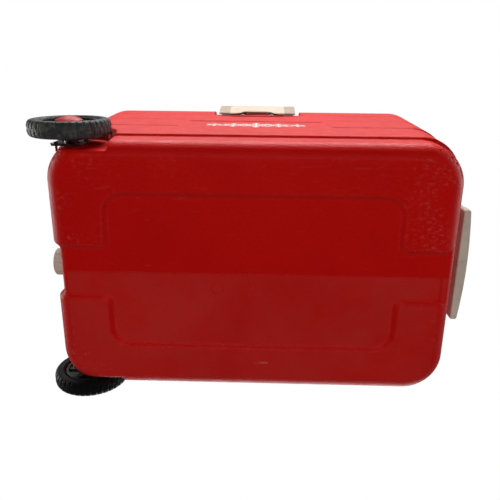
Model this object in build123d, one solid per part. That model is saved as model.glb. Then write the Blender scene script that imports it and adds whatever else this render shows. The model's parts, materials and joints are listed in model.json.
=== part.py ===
"""Wheeled, double-walled picnic cooler chest, modelled in millimetres.

+Z is up, X runs along the chest with the wheels at -X and the tow handle at +X,
and -Y is the front with the latch. The origin is on the floor under the middle.
"""
import os

from build123d import *

beyond = 400.0          # farther out than anything on the chest

# Outer walls of the chest, measured over the moulded plastic.
body_length = 600.0
body_width = 388.0
corner_radius = 60.0
end_lean = 0.015        # the end walls lean out this much per unit of height
side_lean = 0.030       # and the long walls this much
foot_round = 26.0
skin = 3.0
step_low = 53.0         # a shoulder runs all round above the foot block
step_high = 57.0
step_out = 4.0
band_low = 138.0        # a second, smaller shoulder runs round the middle
band_high = 139.5
band_out = 1.5
groove_height = 217.0
groove_width = 2.4
groove_depth = 1.5
rim_height = 286.0

# Plain panel for the graphic, at the middle of the front wall.
panel_half = 124.0
panel_top = 200.0
panel_slant = 8.0

# Underside: two long bracket-shaped feet round a shallow recess.
recess_half_x = 218.0
recess_half_y = 122.0
recess_radius = 30.0
recess_depth = 5.0
recess_slope = 4.0
channel_half = 42.0
channel_end = 290.0
foot_corner = 10.0      # of the feet, where a channel meets the recess
inside_corner = 0.01    # tolerance for picking the corners between recess and channel

# Pocket in the wheel end that shelters the drain.
pocket_floor = 289.0
pocket_half = 38.0
pocket_top = 80.0
pocket_flare = 8.0

# Moulded hand hold in the wheel end.
hold_floor = 289.0
hold_half = 60.0
hold_low = 215.0
hold_high = 262.0
hold_round = 8.0

# Food compartment.
cavity_half_x = 258.0
cavity_half_y = 156.0
cavity_lean = 0.024
cavity_radius = 42.0
cavity_floor = 38.0
cavity_round = 8.0
liner_wall = 2.5
flange_thickness = 3.0

# Lid.
lid_low = 288.0
lid_high = 350.0
lid_round = 12.0
crown_height = 8.0
crown_inset = 26.0
crown_slope = 16.0
plug_low = 276.0
plug_gap = 7.0
plug_radius = 38.0
lid_plate = 3.0
gasket_gap = 0.3
gasket_inset = 9.0
gasket_width = 6.0

# Hinges at the back.
hinge_x = 190.0
hinge_y = 213.0
hinge_z = 287.0
hinge_half = 30.0
hinge_seat = 205.5
leaf_thickness = 2.5
knuckle_radius = 5.0
knuckle_half = 9.7
hinge_pin_radius = 2.5
pin_clearance = 0.06
knuckle_gap = 0.3
seat_margin = 2.0
leaf_height = 30.0
hinge_screw_rise = 21.5
hinge_screw_offset = 18.0

# Latch at the front.
latch_half = 69.5
notch_half = 80.0
notch_floor = 202.0
latch_pivot_y = 212.0
latch_pivot_z = 334.0
latch_barrel = 8.0
latch_front = 220.5
latch_wall = 3.0
latch_edge_round = 2.7
latch_low = 275.0
latch_lip = 4.0
latch_lip_inner = 211.0
lip_arch_half = 36.0
lip_arch_rise = 5.0
latch_pin_radius = 2.0
latch_pin_short = 1.0
cheek_line = 50.0       # shallow grooves mark off the two end cheeks
cheek_line_width = 1.2
cheek_line_depth = 0.8
ear_inner = 20.0
ear_outer = 26.0
ear_gap = 0.4
ear_radius = 4.0
ear_root = 14.0
latch_base_low = 300.0
latch_base_high = 324.0
latch_base_margin = 10.0
latch_screw_offset = 31.0
latch_screw_z = 308.0
keeper_half = 48.0
keeper_front = 210.6
keeper_low = 262.0
keeper_high = 285.0
keeper_base = 1.2
keeper_ledge = 4.0
keeper_screw_x = 26.0
keeper_screw_z = 270.0

# Wheels on stub axles.
wheel_x = -274.5
wheel_z = 62.0
wheel_radius = 60.5
wheel_mid = 207.0
tyre_width = 25.0
tyre_inner = 42.0
tyre_round = 8.0
rim_width = 20.0
rim_band = 4.0
web_thickness = 6.0
spoke_count = 6
spoke_width = 7.0
spoke_depth = 14.0
spoke_root = 1.0        # how far each spoke runs into the hub and the rim
hub_radius = 20.0
bush_radius = 8.0
axle_radius = 5.0
axle_clearance = 0.06
well_floor = 182.0
well_radius = 66.0
well_mouth = -206.5
axle_plate = 50.0
axle_plate_thickness = 3.0
axle_plate_corner = 6.0
axle_screw_pitch = 34.0
washer_radius = 10.0
retainer_radius = 9.0
end_play = 0.4
hub_in = 189.0
hub_out = 217.2
axle_out = 219.0
cap_out = 223.0
cap_wall = 1.6
cap_hollow_radius = 16.5
cap_hollow_depth = 5.0

# Tow handle.
tow_x = 326.0
tow_z = 215.0
tow_arm_in = 75.0
tow_arm_out = 89.0
tow_half = 91.0
tow_low = 55.0
tow_bar = 25.0
tow_inner = 319.5
tow_outer = 330.0
tow_bow = 5.0
tow_arm_inner = 320.5
tow_arm_outer = 331.0
tow_edge = 3.0
tow_boss = 7.5
tow_pin_radius = 4.0
tow_gap = 0.8
ear_thickness = 4.0
bracket_low = 192.0
bracket_high = 238.0
bracket_plate = 3.0
bracket_margin = 7.0
bracket_corner = 6.0
bracket_sunk = 2.0

# Drain at the wheel end.
drain_z = 47.0
drain_bore = 6.5
drain_tube = 8.0
drain_flange = 18.0
drain_neck = 14.0
drain_neck_out = 303.0
drain_gasket_thickness = 1.0
drain_flange_thickness = 3.0
drain_cap_radius = 21.0
drain_cap_out = 308.0
drain_seal_thickness = 1.5
drain_gap = 0.35
drain_seal_radius = 13.0
drain_cap_edge = 2.0
drain_grips = 20
drain_grip_radius = 1.0

# Screws.
screw_radius = 2.0
screw_head = 4.0
screw_head_height = 2.0
screw_length = 12.0

front = -1
back = 1


def half_size(height):
    """Half length and half width of the outer wall at a height above the floor."""
    step = 0.0
    if height >= step_high:
        step += step_out
    if height >= band_high:
        step += band_out
    half_x = body_length / 2 + end_lean * height + step
    half_y = body_width / 2 + side_lean * height + step
    return half_x, half_y


def outline(height, inset=0.0):
    """Rounded plan outline of the outer wall, moved inwards by inset."""
    half_x, half_y = half_size(height)
    plan = RectangleRounded(2 * (half_x - inset), 2 * (half_y - inset), corner_radius - inset)
    return Pos(0, 0, height) * plan


def wall_block(low, high, inset=0.0):
    """Solid between two heights inside the outer wall."""
    return loft([outline(low, inset), outline(high, inset)])


def slab(half_x, half_y, radius, low, high):
    """Upright slab with rounded plan corners."""
    plan = RectangleRounded(2 * half_x, 2 * half_y, radius)
    return Pos(0, 0, low) * extrude(plan, high - low)


def block(x, y, z):
    """Box from its extents, each a pair of low and high."""
    size = (x[1] - x[0], y[1] - y[0], z[1] - z[0])
    middle = ((x[0] + x[1]) / 2, (y[0] + y[1]) / 2, (z[0] + z[1]) / 2)
    return Pos(*middle) * Box(*size)


def layer(low, high):
    """Everything between two heights."""
    return block((-beyond, beyond), (-beyond, beyond), (low, high))


def rod_x(radius, x, y, z):
    """Cylinder along X from x[0] to x[1]."""
    place = Pos((x[0] + x[1]) / 2, y, z) * Rot(0, 90, 0)
    return place * Cylinder(radius, abs(x[1] - x[0]))


def rod_y(radius, x, y, z):
    """Cylinder along Y from y[0] to y[1]."""
    place = Pos(x, (y[0] + y[1]) / 2, z) * Rot(90, 0, 0)
    return place * Cylinder(radius, abs(y[1] - y[0]))


def screw(place):
    """Pan head screw whose head stands on the plane z = 0 of its place."""
    shank = Pos(0, 0, -screw_length / 2) * Cylinder(screw_radius, screw_length)
    head = Pos(0, 0, screw_head_height / 2) * Cylinder(screw_head, screw_head_height)
    head = fillet(head.edges().group_by(Axis.Z)[-1], screw_head_height / 2)
    return place * (shank + head)


def joined(solids):
    """All the solids of a list in one compound."""
    return Compound(children=[piece for solid in solids for piece in solid.solids()])


# ---------------------------------------------------------------- chest walls


def recess_plan(height, inset):
    """Outline of the underside recess and its two end channels, moved inwards by inset."""
    half_x = recess_half_x - inset
    half_y = recess_half_y - inset
    narrow = channel_half - inset
    left = pocket_floor + foot_corner
    right = channel_end - inset
    outline_shape = RectangleRounded(2 * half_x, 2 * half_y, recess_radius - inset)
    outline_shape += Pos((right - left) / 2, 0) * Rectangle(right + left, 2 * narrow)
    corners = [
        point
        for point in outline_shape.vertices()
        if abs(abs(point.Y) - narrow) < inside_corner and abs(point.X) < half_x + inside_corner
    ]
    return Pos(0, 0, height) * fillet(corners, foot_corner + inset)


def underside_cutter(grow):
    """Recess and end channels under the chest, grown by the skin for the foam side."""
    return loft([recess_plan(0, -grow), recess_plan(recess_depth + grow, recess_slope - grow)])


def pocket_cutter(grow):
    """Drain pocket, narrower at its floor than at its mouth."""
    half_x = half_size(step_high)[0] + pocket_flare
    inner = pocket_half + grow
    outer = inner + pocket_flare
    top = pocket_top + grow
    low = -pocket_flare
    floor_face = Polygon((-inner, low), (inner, low), (inner, top), (-inner, top), align=None)
    mouth_top = top + pocket_flare
    mouth_face = Polygon(
        (-outer, low), (outer, low), (outer, mouth_top), (-outer, mouth_top), align=None
    )
    cutter = loft(
        [
            Plane.YZ.offset(-(pocket_floor - grow)) * floor_face,
            Plane.YZ.offset(-half_x) * mouth_face,
        ]
    )
    return cutter


def well_cutter(side, grow):
    """Wheel well: round over the wheel, with a straight mouth below the axle."""
    outer = half_size(rim_height)[1] + well_radius
    radius = well_radius + grow
    over = rod_y(radius, wheel_x, (side * (well_floor - grow), side * outer), wheel_z)
    mouth = Polygon(
        (wheel_x - radius, -grow),
        (well_mouth + grow, -grow),
        (wheel_x + radius, wheel_z),
        (wheel_x - radius, wheel_z),
        align=None,
    )
    depth = outer - well_floor + grow
    below = extrude(Plane.XZ.offset(well_floor - grow) * mouth, depth)
    if side == back:
        below = below.mirror(Plane.XZ)
    return over + below


def hold_cutter(grow):
    """Hand hold in the wheel end."""
    half_x = half_size(rim_height)[0] + hold_round
    cutter = block(
        (-half_x, -hold_floor + grow),
        (-hold_half - grow, hold_half + grow),
        (hold_low - grow, hold_high + grow),
    )
    return fillet(cutter.edges().filter_by(Axis.X), hold_round + grow)


def hinge_seat_cutter(x, grow):
    """Flat seat for a hinge, cut in the back of the body and the lid alike."""
    half = hinge_half + seat_margin + grow
    rise = leaf_height + 2 * seat_margin + grow
    depth = (hinge_seat - grow, hinge_y + knuckle_radius)
    return block((x - half, x + half), depth, (hinge_z - rise, hinge_z + rise))


def body_form(inset):
    """Outer form of the chest with every hollow in it, moved inwards by inset."""
    foot = wall_block(inset, step_low, inset)
    foot = fillet(foot.edges().group_by(Axis.Z)[0], foot_round - inset)
    form = foot + wall_block(step_low, step_high, inset)
    form += wall_block(step_high, band_low, inset)
    form += wall_block(band_low, band_high, inset)
    form += wall_block(band_high, rim_height, inset)
    form -= underside_cutter(inset)
    form -= pocket_cutter(inset)
    form -= hold_cutter(inset)
    for side in (front, back):
        form -= well_cutter(side, inset)
    for x in (-hinge_x, hinge_x):
        form -= hinge_seat_cutter(x, inset)
    return form


def front_panel():
    """What is cut from the front so that its panel is level with the wall below it."""
    low_y = body_width / 2 + side_lean * band_low + step_out
    high_y = body_width / 2 + side_lean * panel_top + step_out
    reach = 3 * band_out
    section = Polygon(
        (-low_y - reach, band_low),
        (-low_y, band_low),
        (-high_y, panel_top),
        (-high_y - reach, panel_top),
        align=None,
    )
    sheet = extrude(Plane.YZ.offset(-panel_half) * section, 2 * panel_half)
    trim = Polygon(
        (-panel_half, band_low),
        (panel_half, band_low),
        (panel_half - panel_slant, panel_top),
        (panel_slant - panel_half, panel_top),
        align=None,
    )
    return sheet & extrude(Plane.XZ * trim, high_y + reach)


def wrap_groove():
    """Groove round the chest, left out across the middle of the front."""
    low = groove_height - groove_width / 2
    high = groove_height + groove_width / 2
    ring = wall_block(low, high, -groove_depth) - wall_block(low, high, groove_depth)
    half_y = half_size(rim_height)[1] + groove_depth
    gap = block((-panel_half, panel_half), (-half_y, 0), (low, high))
    return ring - gap


def cavity(grow):
    """Food compartment, with an open top above the rim."""
    rise = rim_height + skin - cavity_floor
    low = Pos(0, 0, cavity_floor - grow) * RectangleRounded(
        2 * (cavity_half_x + grow), 2 * (cavity_half_y + grow), cavity_radius + grow
    )
    spread = cavity_lean * rise + grow
    high = Pos(0, 0, cavity_floor + rise) * RectangleRounded(
        2 * (cavity_half_x + spread), 2 * (cavity_half_y + spread), cavity_radius + grow
    )
    form = loft([low, high])
    return fillet(form.edges().group_by(Axis.Z)[0], cavity_round + grow)


# ---------------------------------------------------------------------- drain


def drain_body():
    """Flanged drain tube with an outside thread neck."""
    seat = -(pocket_floor + drain_gasket_thickness)
    flange_out = seat - drain_flange_thickness
    tube = rod_x(drain_tube, (seat, -cavity_half_x + liner_wall), 0, drain_z)
    flange = rod_x(drain_flange, (flange_out, seat), 0, drain_z)
    neck = rod_x(drain_neck, (-drain_neck_out, flange_out), 0, drain_z)
    bore = rod_x(drain_bore, (-drain_cap_out, 0), 0, drain_z)
    return tube + flange + neck - bore


def drain_gasket():
    seat = -(pocket_floor + drain_gasket_thickness)
    ring = rod_x(drain_flange, (seat, -pocket_floor), 0, drain_z)
    return ring - rod_x(drain_tube, (seat, -pocket_floor), 0, drain_z)


def drain_seal():
    """Rubber disc inside the cap, against the end of the neck."""
    inner = -(drain_neck_out + drain_gap)
    return rod_x(drain_seal_radius, (inner - drain_seal_thickness, inner), 0, drain_z)


def drain_cap():
    """Ribbed screw cap."""
    open_end = -(pocket_floor + drain_gasket_thickness + drain_flange_thickness + drain_gap)
    hollow_end = -(drain_neck_out + drain_seal_thickness + 2 * drain_gap)
    cap = rod_x(drain_cap_radius, (-drain_cap_out, open_end), 0, drain_z)
    cap = fillet(cap.edges().group_by(Axis.X)[0], drain_cap_edge)
    cap -= rod_x(drain_neck + drain_gap, (hollow_end, open_end), 0, drain_z)
    grip = rod_x(drain_grip_radius, (-drain_cap_out, open_end), drain_cap_radius, 0)
    for index in range(drain_grips):
        cap -= Pos(0, 0, drain_z) * Rot(index * 360 / drain_grips, 0, 0) * grip
    return cap


# --------------------------------------------------------------------- hinges


def hinge_leaf(x, up):
    """Leaf of one hinge: the body leaf has the two outer knuckles, the lid leaf the middle one."""
    away = leaf_height if up else -leaf_height
    near = knuckle_radius if up else -knuckle_radius
    plate_z = sorted((hinge_z + near, hinge_z + away))
    leaf = block(
        (x - hinge_half, x + hinge_half), (hinge_seat, hinge_seat + leaf_thickness), plate_z
    )
    arm_z = sorted((hinge_z, hinge_z + 2 * near))
    if up:
        spans = [(x - knuckle_half, x + knuckle_half)]
    else:
        gap = knuckle_half + knuckle_gap
        spans = [(x - hinge_half, x - gap), (x + gap, x + hinge_half)]
    for span in spans:
        leaf += block(span, (hinge_seat, hinge_y), arm_z)
        leaf += rod_x(knuckle_radius, span, hinge_y, hinge_z)
    leaf -= rod_x(
        hinge_pin_radius + pin_clearance, (x - 2 * hinge_half, x + 2 * hinge_half), hinge_y, hinge_z
    )
    return leaf


def hinge_screws(up):
    """Two screws for each leaf."""
    height = hinge_z + hinge_screw_rise if up else hinge_z - hinge_screw_rise
    screws = []
    for x in (-hinge_x, hinge_x):
        for offset in (-hinge_screw_offset, hinge_screw_offset):
            place = Pos(x + offset, hinge_seat + leaf_thickness, height) * Rot(-90, 0, 0)
            screws.append(screw(place))
    return joined(screws)


# ------------------------------------------------------------------------ lid


def lid_form(inset):
    """Outer form of the lid with its raised crown, moved inwards by inset."""
    top = lid_high - inset
    form = wall_block(lid_low, top, inset)
    form = fillet(form.edges().group_by(Axis.Z)[-1], lid_round - inset)
    half_x, half_y = half_size(lid_high)
    foot = crown_inset + inset
    low = Pos(0, 0, top - inset) * RectangleRounded(
        2 * (half_x - foot), 2 * (half_y - foot), corner_radius - inset
    )
    slope = crown_inset + crown_slope + inset
    high = Pos(0, 0, top + crown_height) * RectangleRounded(
        2 * (half_x - slope), 2 * (half_y - slope), corner_radius - crown_slope - inset
    )
    form += loft([low, high])
    half = notch_half + inset
    form -= block(
        (-half, half), (-half_y - inset, -notch_floor + inset), (lid_low - skin, top + crown_height)
    )
    for x in (-hinge_x, hinge_x):
        form -= hinge_seat_cutter(x, inset)
    return form


def plug_block(inset):
    """Shallow plug of the lid that drops into the mouth of the compartment."""
    spread = cavity_lean * (rim_height - cavity_floor)
    return slab(
        cavity_half_x + spread - plug_gap - inset,
        cavity_half_y + spread - plug_gap - inset,
        plug_radius - inset,
        plug_low + inset,
        lid_low + lid_plate,
    )


def lid_liner():
    """Inner panel of the lid, with the plug as a tray in it."""
    form = wall_block(lid_low, lid_low + lid_plate, skin) & lid_form(skin)
    return form + plug_block(0) - plug_block(liner_wall)


def lid_gasket():
    """Flat sealing ring under the lid, just clear of the rim."""
    spread = cavity_lean * (rim_height - cavity_floor)
    half_x = cavity_half_x + spread + gasket_inset
    half_y = cavity_half_y + spread + gasket_inset
    low = rim_height + gasket_gap
    outer = slab(half_x, half_y, cavity_radius, low, lid_low)
    inner = slab(
        half_x - gasket_width, half_y - gasket_width, cavity_radius - gasket_width, low, lid_low
    )
    return outer - inner


# ---------------------------------------------------------------------- latch


def latch_lever():
    """Wide lever: a barrel at the top, two end walls and a lip under the bottom edge."""
    inner = latch_front - latch_wall
    barrel = rod_x(latch_barrel, (-latch_half, latch_half), -latch_pivot_y, latch_pivot_z)
    plate = block((-latch_half, latch_half), (-latch_front, -inner), (latch_low, latch_pivot_z))
    plate = fillet(plate.edges().group_by(Axis.Z)[-1].group_by(Axis.Y)[0], latch_edge_round)
    lip = block(
        (-latch_half, latch_half),
        (-latch_front, -latch_lip_inner),
        (latch_low, latch_low + latch_lip),
    )
    arch_radius = (lip_arch_half**2 + lip_arch_rise**2) / (2 * lip_arch_rise)
    arch_y = arch_radius - latch_lip_inner - lip_arch_rise
    lip -= Pos(0, arch_y, latch_low) * Cylinder(arch_radius, 4 * latch_lip)
    lever = barrel + plate + lip
    for end in (-1, 1):
        wall = sorted((end * (latch_half - latch_wall), end * latch_half))
        lever += block(wall, (-inner, -latch_lip_inner), (latch_low, latch_pivot_z))
        slot = sorted((end * (ear_inner - ear_gap), end * (ear_outer + ear_gap)))
        slot_z = (latch_pivot_z - 2 * latch_barrel, latch_pivot_z + 2 * latch_barrel)
        lever -= block(slot, (-inner, -notch_floor), slot_z)
        line = (end * cheek_line - cheek_line_width / 2, end * cheek_line + cheek_line_width / 2)
        line_y = (-latch_front, -latch_front + cheek_line_depth)
        lever -= block(line, line_y, (latch_low, latch_pivot_z))
    bore = latch_pin_radius + pin_clearance
    return lever - rod_x(bore, (-2 * latch_half, 2 * latch_half), -latch_pivot_y, latch_pivot_z)


def latch_bracket():
    """Base plate in the lid's notch, with two ears for the latch pin."""
    half = ear_outer + latch_base_margin
    base = (-notch_floor - leaf_thickness, -notch_floor)
    bracket = block((-half, half), base, (latch_base_low, latch_base_high))
    for end in (-1, 1):
        x = sorted((end * ear_inner, end * ear_outer))
        ear_z = (latch_pivot_z - ear_root, latch_pivot_z + ear_radius / 2)
        bracket += block(x, (-latch_pivot_y, -notch_floor), ear_z)
        bracket += rod_x(ear_radius, x, -latch_pivot_y, latch_pivot_z)
    hole = rod_x(latch_pin_radius, (-latch_half, latch_half), -latch_pivot_y, latch_pivot_z)
    return bracket - hole


def latch_pin():
    half = latch_half - latch_pin_short
    return rod_x(latch_pin_radius, (-half, half), -latch_pivot_y, latch_pivot_z)


def latch_bracket_screws():
    screws = []
    for x in (-latch_screw_offset, 0, latch_screw_offset):
        place = Pos(x, -notch_floor - leaf_thickness, latch_screw_z) * Rot(90, 0, 0)
        screws.append(screw(place))
    return joined(screws)


def keeper_form():
    """Keeper on the body: a base plate and a ledge."""
    wall = half_size(keeper_low)[1]
    across = (-keeper_half, keeper_half)
    sunk = -wall + skin
    keeper = block(across, (-wall - keeper_base, sunk), (keeper_low, keeper_high))
    keeper += block(across, (-keeper_front, sunk), (keeper_high - keeper_ledge, keeper_high))
    return keeper


def keeper_screws():
    face = half_size(keeper_low)[1] + keeper_base
    screws = []
    for x in (-keeper_screw_x, keeper_screw_x):
        screws.append(screw(Pos(x, -face, keeper_screw_z) * Rot(90, 0, 0)))
    return joined(screws)


# --------------------------------------------------------------------- wheels


def ring_y(outer, inner, y, side):
    """Ring about the wheel axis between two distances from the middle plane of the chest."""
    span = (side * y[0], side * y[1])
    return rod_y(outer, wheel_x, span, wheel_z) - rod_y(inner, wheel_x, span, wheel_z)


def tyre(side):
    low = wheel_mid - tyre_width / 2
    high = wheel_mid + tyre_width / 2
    solid = rod_y(wheel_radius, wheel_x, (side * low, side * high), wheel_z)
    solid = fillet(solid.edges().filter_by(GeomType.CIRCLE), tyre_round)
    return solid - rod_y(tyre_inner, wheel_x, (side * low, side * high), wheel_z)


def rim(side):
    low = wheel_mid - rim_width / 2
    high = wheel_mid + rim_width / 2
    web_low = wheel_mid - web_thickness / 2
    web_high = wheel_mid + web_thickness / 2
    solid = ring_y(tyre_inner, tyre_inner - rim_band, (low, high), side)
    solid += ring_y(tyre_inner - rim_band, hub_radius, (web_low, web_high), side)
    solid += ring_y(hub_radius, bush_radius, (hub_in, hub_out), side)
    reach = tyre_inner - rim_band - hub_radius + 2 * spoke_root
    middle = hub_radius - spoke_root + reach / 2
    spoke = Pos(middle, 0, 0) * Box(reach, spoke_depth, spoke_width)
    for index in range(spoke_count):
        turn = Rot(0, index * 360 / spoke_count, 0)
        solid += Pos(wheel_x, side * wheel_mid, wheel_z) * turn * spoke
    return solid


def bush(side):
    return ring_y(bush_radius, axle_radius + axle_clearance, (hub_in, hub_out), side)


def hub_cap(side):
    """Domed cap over the axle end."""
    rise = cap_out - hub_out
    sphere_radius = (hub_radius**2 + rise**2) / (2 * rise)
    middle = cap_out - sphere_radius
    dome = Pos(wheel_x, side * middle, wheel_z) * Sphere(sphere_radius)
    solid = dome & rod_y(hub_radius, wheel_x, (side * hub_out, side * (cap_out + rise)), wheel_z)
    hollow = (side * hub_out, side * (hub_out + cap_hollow_depth))
    inner = rod_y(cap_hollow_radius, wheel_x, hollow, wheel_z)
    inner_dome = Pos(wheel_x, side * (middle - cap_wall), wheel_z) * Sphere(sphere_radius)
    return solid - (inner & inner_dome)


def axle(side):
    """Stub axle on a square plate."""
    plate_out = well_floor + axle_plate_thickness
    half = axle_plate / 2
    plate = block(
        (wheel_x - half, wheel_x + half),
        sorted((side * well_floor, side * plate_out)),
        (wheel_z - half, wheel_z + half),
    )
    plate = fillet(plate.edges().filter_by(Axis.Y), axle_plate_corner)
    pin = rod_y(axle_radius, wheel_x, (side * plate_out, side * axle_out), wheel_z)
    return plate + pin


def axle_screws():
    screws = []
    half = axle_screw_pitch / 2
    for side in (front, back):
        for dx in (-half, half):
            for dz in (-half, half):
                face = side * (well_floor + axle_plate_thickness)
                place = Pos(wheel_x + dx, face, wheel_z + dz) * Rot(-90 * side, 0, 0)
                screws.append(screw(place))
    return joined(screws)


def axle_washer(side):
    face = well_floor + axle_plate_thickness
    return ring_y(washer_radius, axle_radius, (face, hub_in - end_play), side)


def axle_retainer(side):
    return ring_y(retainer_radius, axle_radius, (hub_out + end_play, axle_out), side)


# ----------------------------------------------------------------- tow handle


def tow_frame():
    """One-piece handle: two arms and a cross grip whose outer face is bowed."""
    bow_radius = (tow_half**2 + tow_bow**2) / (2 * tow_bow)
    outer = tow_outer + tow_bow
    middle_z = tow_low + tow_bar / 2
    frame = block((tow_inner, outer), (-tow_half, tow_half), (tow_low, tow_low + tow_bar))
    frame &= Pos(outer - bow_radius, 0, middle_z) * Cylinder(bow_radius, 2 * tow_bar)
    frame = fillet(frame.edges().filter_by(Axis.Z).group_by(Axis.X)[-1], tow_edge)
    for side in (front, back):
        y = sorted((side * tow_arm_in, side * tow_arm_out))
        frame += block((tow_arm_inner, tow_arm_outer), y, (middle_z, tow_z))
        frame += rod_y(tow_boss, tow_x, y, tow_z)
    return frame - rod_y(tow_pin_radius + pin_clearance, tow_x, (-tow_half, tow_half), tow_z)


def tow_bracket(side):
    """Bracket on the end wall with an ear at each side of the arm."""
    wall = half_size(bracket_low)[0]
    ear_in = tow_arm_in - tow_gap - ear_thickness
    ear_out = tow_arm_out + tow_gap + ear_thickness
    y = sorted((side * (ear_in - bracket_margin), side * (ear_out + bracket_margin)))
    depth = (wall - bracket_sunk, wall + bracket_plate)
    bracket = block(depth, y, (bracket_low, bracket_high))
    bracket = fillet(bracket.edges().filter_by(Axis.X), bracket_corner)
    for low in (ear_in, tow_arm_out + tow_gap):
        span = sorted((side * low, side * (low + ear_thickness)))
        bracket += rod_y(tow_boss, tow_x, span, tow_z)
        bracket += block((wall, tow_x), span, (tow_z - tow_boss, tow_z + tow_boss))
    return bracket - rod_y(tow_pin_radius, tow_x, (-2 * tow_half, 2 * tow_half), tow_z)


def tow_pins():
    pins = []
    for side in (front, back):
        low = tow_arm_in - tow_gap - ear_thickness
        high = tow_arm_out + tow_gap + ear_thickness
        pins.append(rod_y(tow_pin_radius, tow_x, (side * low, side * high), tow_z))
    return joined(pins)


def tow_screws():
    wall = half_size(bracket_low)[0] + bracket_plate
    screws = []
    middle = (tow_arm_in + tow_arm_out) / 2
    for side in (front, back):
        for height in (bracket_low + bracket_margin, bracket_high - bracket_margin):
            place = Pos(wall, side * middle, height) * Rot(0, 90, 0)
            screws.append(screw(place))
    return joined(screws)


# ----------------------------------------------------------------- assembling


def body_parts():
    """Outer shell, liner and foam, cut for everything that passes through them."""
    outside = body_form(0)
    inside = body_form(skin)
    inside -= layer(rim_height, beyond)
    liner_outside = cavity(liner_wall)
    flange = wall_block(rim_height - flange_thickness, rim_height, skin)
    for x in (-hinge_x, hinge_x):
        flange -= hinge_seat_cutter(x, skin)
    liner = (liner_outside & layer(0, rim_height)) + flange
    liner -= cavity(0)
    shell = outside - inside
    shell -= front_panel()
    shell -= wrap_groove()
    foam = inside & layer(0, rim_height - flange_thickness)
    foam -= liner_outside
    drain = drain_body()
    hole = (-pocket_floor - skin, -cavity_half_x + 2 * liner_wall)
    drain_hole = rod_x(drain_tube, hole, 0, drain_z)
    fasteners = [hinge_screws(False), keeper_screws(), axle_screws(), tow_screws()]
    liner -= drain_hole
    for tool in [drain_hole] + fasteners:
        shell -= tool
        foam -= tool
    return outside, {
        "outer_shell": shell,
        "inner_liner": liner,
        "body_foam": foam,
        "drain_body": drain,
        "hinge_body_screws": fasteners[0],
        "latch_keeper_screws": fasteners[1],
        "axle_screws": fasteners[2],
        "tow_bracket_screws": fasteners[3],
    }


def lid_parts():
    """Lid shell, its foam and its inner panel."""
    inside = lid_form(skin)
    shell = lid_form(0) - inside
    foam = (inside & layer(lid_low + lid_plate, beyond)) + plug_block(liner_wall)
    fasteners = [hinge_screws(True), latch_bracket_screws()]
    for tool in fasteners:
        shell -= tool
        foam -= tool
    return {
        "lid_shell": shell,
        "lid_liner": lid_liner(),
        "lid_foam": foam,
        "hinge_lid_screws": fasteners[0],
        "latch_bracket_screws": fasteners[1],
    }


def main():
    os.makedirs("parts", exist_ok=True)
    outside, parts = body_parts()
    parts.update(lid_parts())
    parts["lid_gasket"] = lid_gasket()
    parts["drain_gasket"] = drain_gasket()
    parts["drain_seal"] = drain_seal()
    parts["drain_cap"] = drain_cap()

    body_leaves = [hinge_leaf(x, False) for x in (-hinge_x, hinge_x)]
    lid_leaves = [hinge_leaf(x, True) for x in (-hinge_x, hinge_x)]
    parts["hinge_body_leaves"] = joined([leaf - parts["hinge_body_screws"] for leaf in body_leaves])
    parts["hinge_lid_leaves"] = joined([leaf - parts["hinge_lid_screws"] for leaf in lid_leaves])
    parts["hinge_pins"] = joined(
        [
            rod_x(hinge_pin_radius, (x - hinge_half, x + hinge_half), hinge_y, hinge_z)
            for x in (-hinge_x, hinge_x)
        ]
    )

    parts["latch_lever"] = latch_lever()
    parts["latch_bracket"] = latch_bracket() - parts["latch_bracket_screws"]
    parts["latch_pin"] = latch_pin()
    parts["latch_keeper"] = keeper_form() - outside - parts["latch_keeper_screws"]

    for name, side in (("front", front), ("back", back)):
        parts["tyre_" + name] = tyre(side)
        parts["rim_" + name] = rim(side)
        parts["wheel_bush_" + name] = bush(side)
        parts["hub_cap_" + name] = hub_cap(side)
        parts["axle_" + name] = axle(side) - parts["axle_screws"]
        parts["axle_washer_" + name] = axle_washer(side)
        parts["axle_retainer_" + name] = axle_retainer(side)
        parts["tow_bracket_" + name] = tow_bracket(side) - outside - parts["tow_bracket_screws"]
    parts["tow_handle"] = tow_frame()
    parts["tow_pivot_pins"] = tow_pins()

    for name, shape in parts.items():
        export_step(shape, "parts/" + name + ".step")


main()
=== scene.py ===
"""Looks of the wheeled cooler chest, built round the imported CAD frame.

Shapes are worked out in millimetres and turned into metres when a mesh is made.
"""
import json
import math

import bmesh
import bpy
import numpy as np
from mathutils import Matrix, Vector


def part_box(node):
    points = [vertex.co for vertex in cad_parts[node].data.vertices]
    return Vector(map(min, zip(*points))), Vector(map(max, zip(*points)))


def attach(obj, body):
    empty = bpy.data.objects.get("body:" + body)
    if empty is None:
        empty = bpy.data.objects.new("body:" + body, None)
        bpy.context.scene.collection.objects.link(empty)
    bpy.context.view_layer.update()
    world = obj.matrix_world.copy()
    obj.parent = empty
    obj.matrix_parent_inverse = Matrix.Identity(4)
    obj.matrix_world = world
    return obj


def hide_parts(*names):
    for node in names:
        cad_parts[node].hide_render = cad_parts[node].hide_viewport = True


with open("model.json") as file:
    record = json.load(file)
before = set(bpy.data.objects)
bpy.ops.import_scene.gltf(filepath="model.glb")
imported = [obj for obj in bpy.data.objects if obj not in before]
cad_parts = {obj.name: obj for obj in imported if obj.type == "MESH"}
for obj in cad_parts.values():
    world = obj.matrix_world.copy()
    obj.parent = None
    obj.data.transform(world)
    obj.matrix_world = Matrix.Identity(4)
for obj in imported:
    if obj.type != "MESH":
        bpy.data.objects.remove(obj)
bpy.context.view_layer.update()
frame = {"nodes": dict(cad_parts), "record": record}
nodes = frame["nodes"]

MM = 0.001
FRONT = -1
BACK = 1


def box_mm(node):
    """Lowest and highest corner of a CAD node in millimetres."""
    low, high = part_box(node)
    return np.array(low) / MM, np.array(high) / MM


# ------------------------------------------------------------ sizes from the frame

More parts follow.
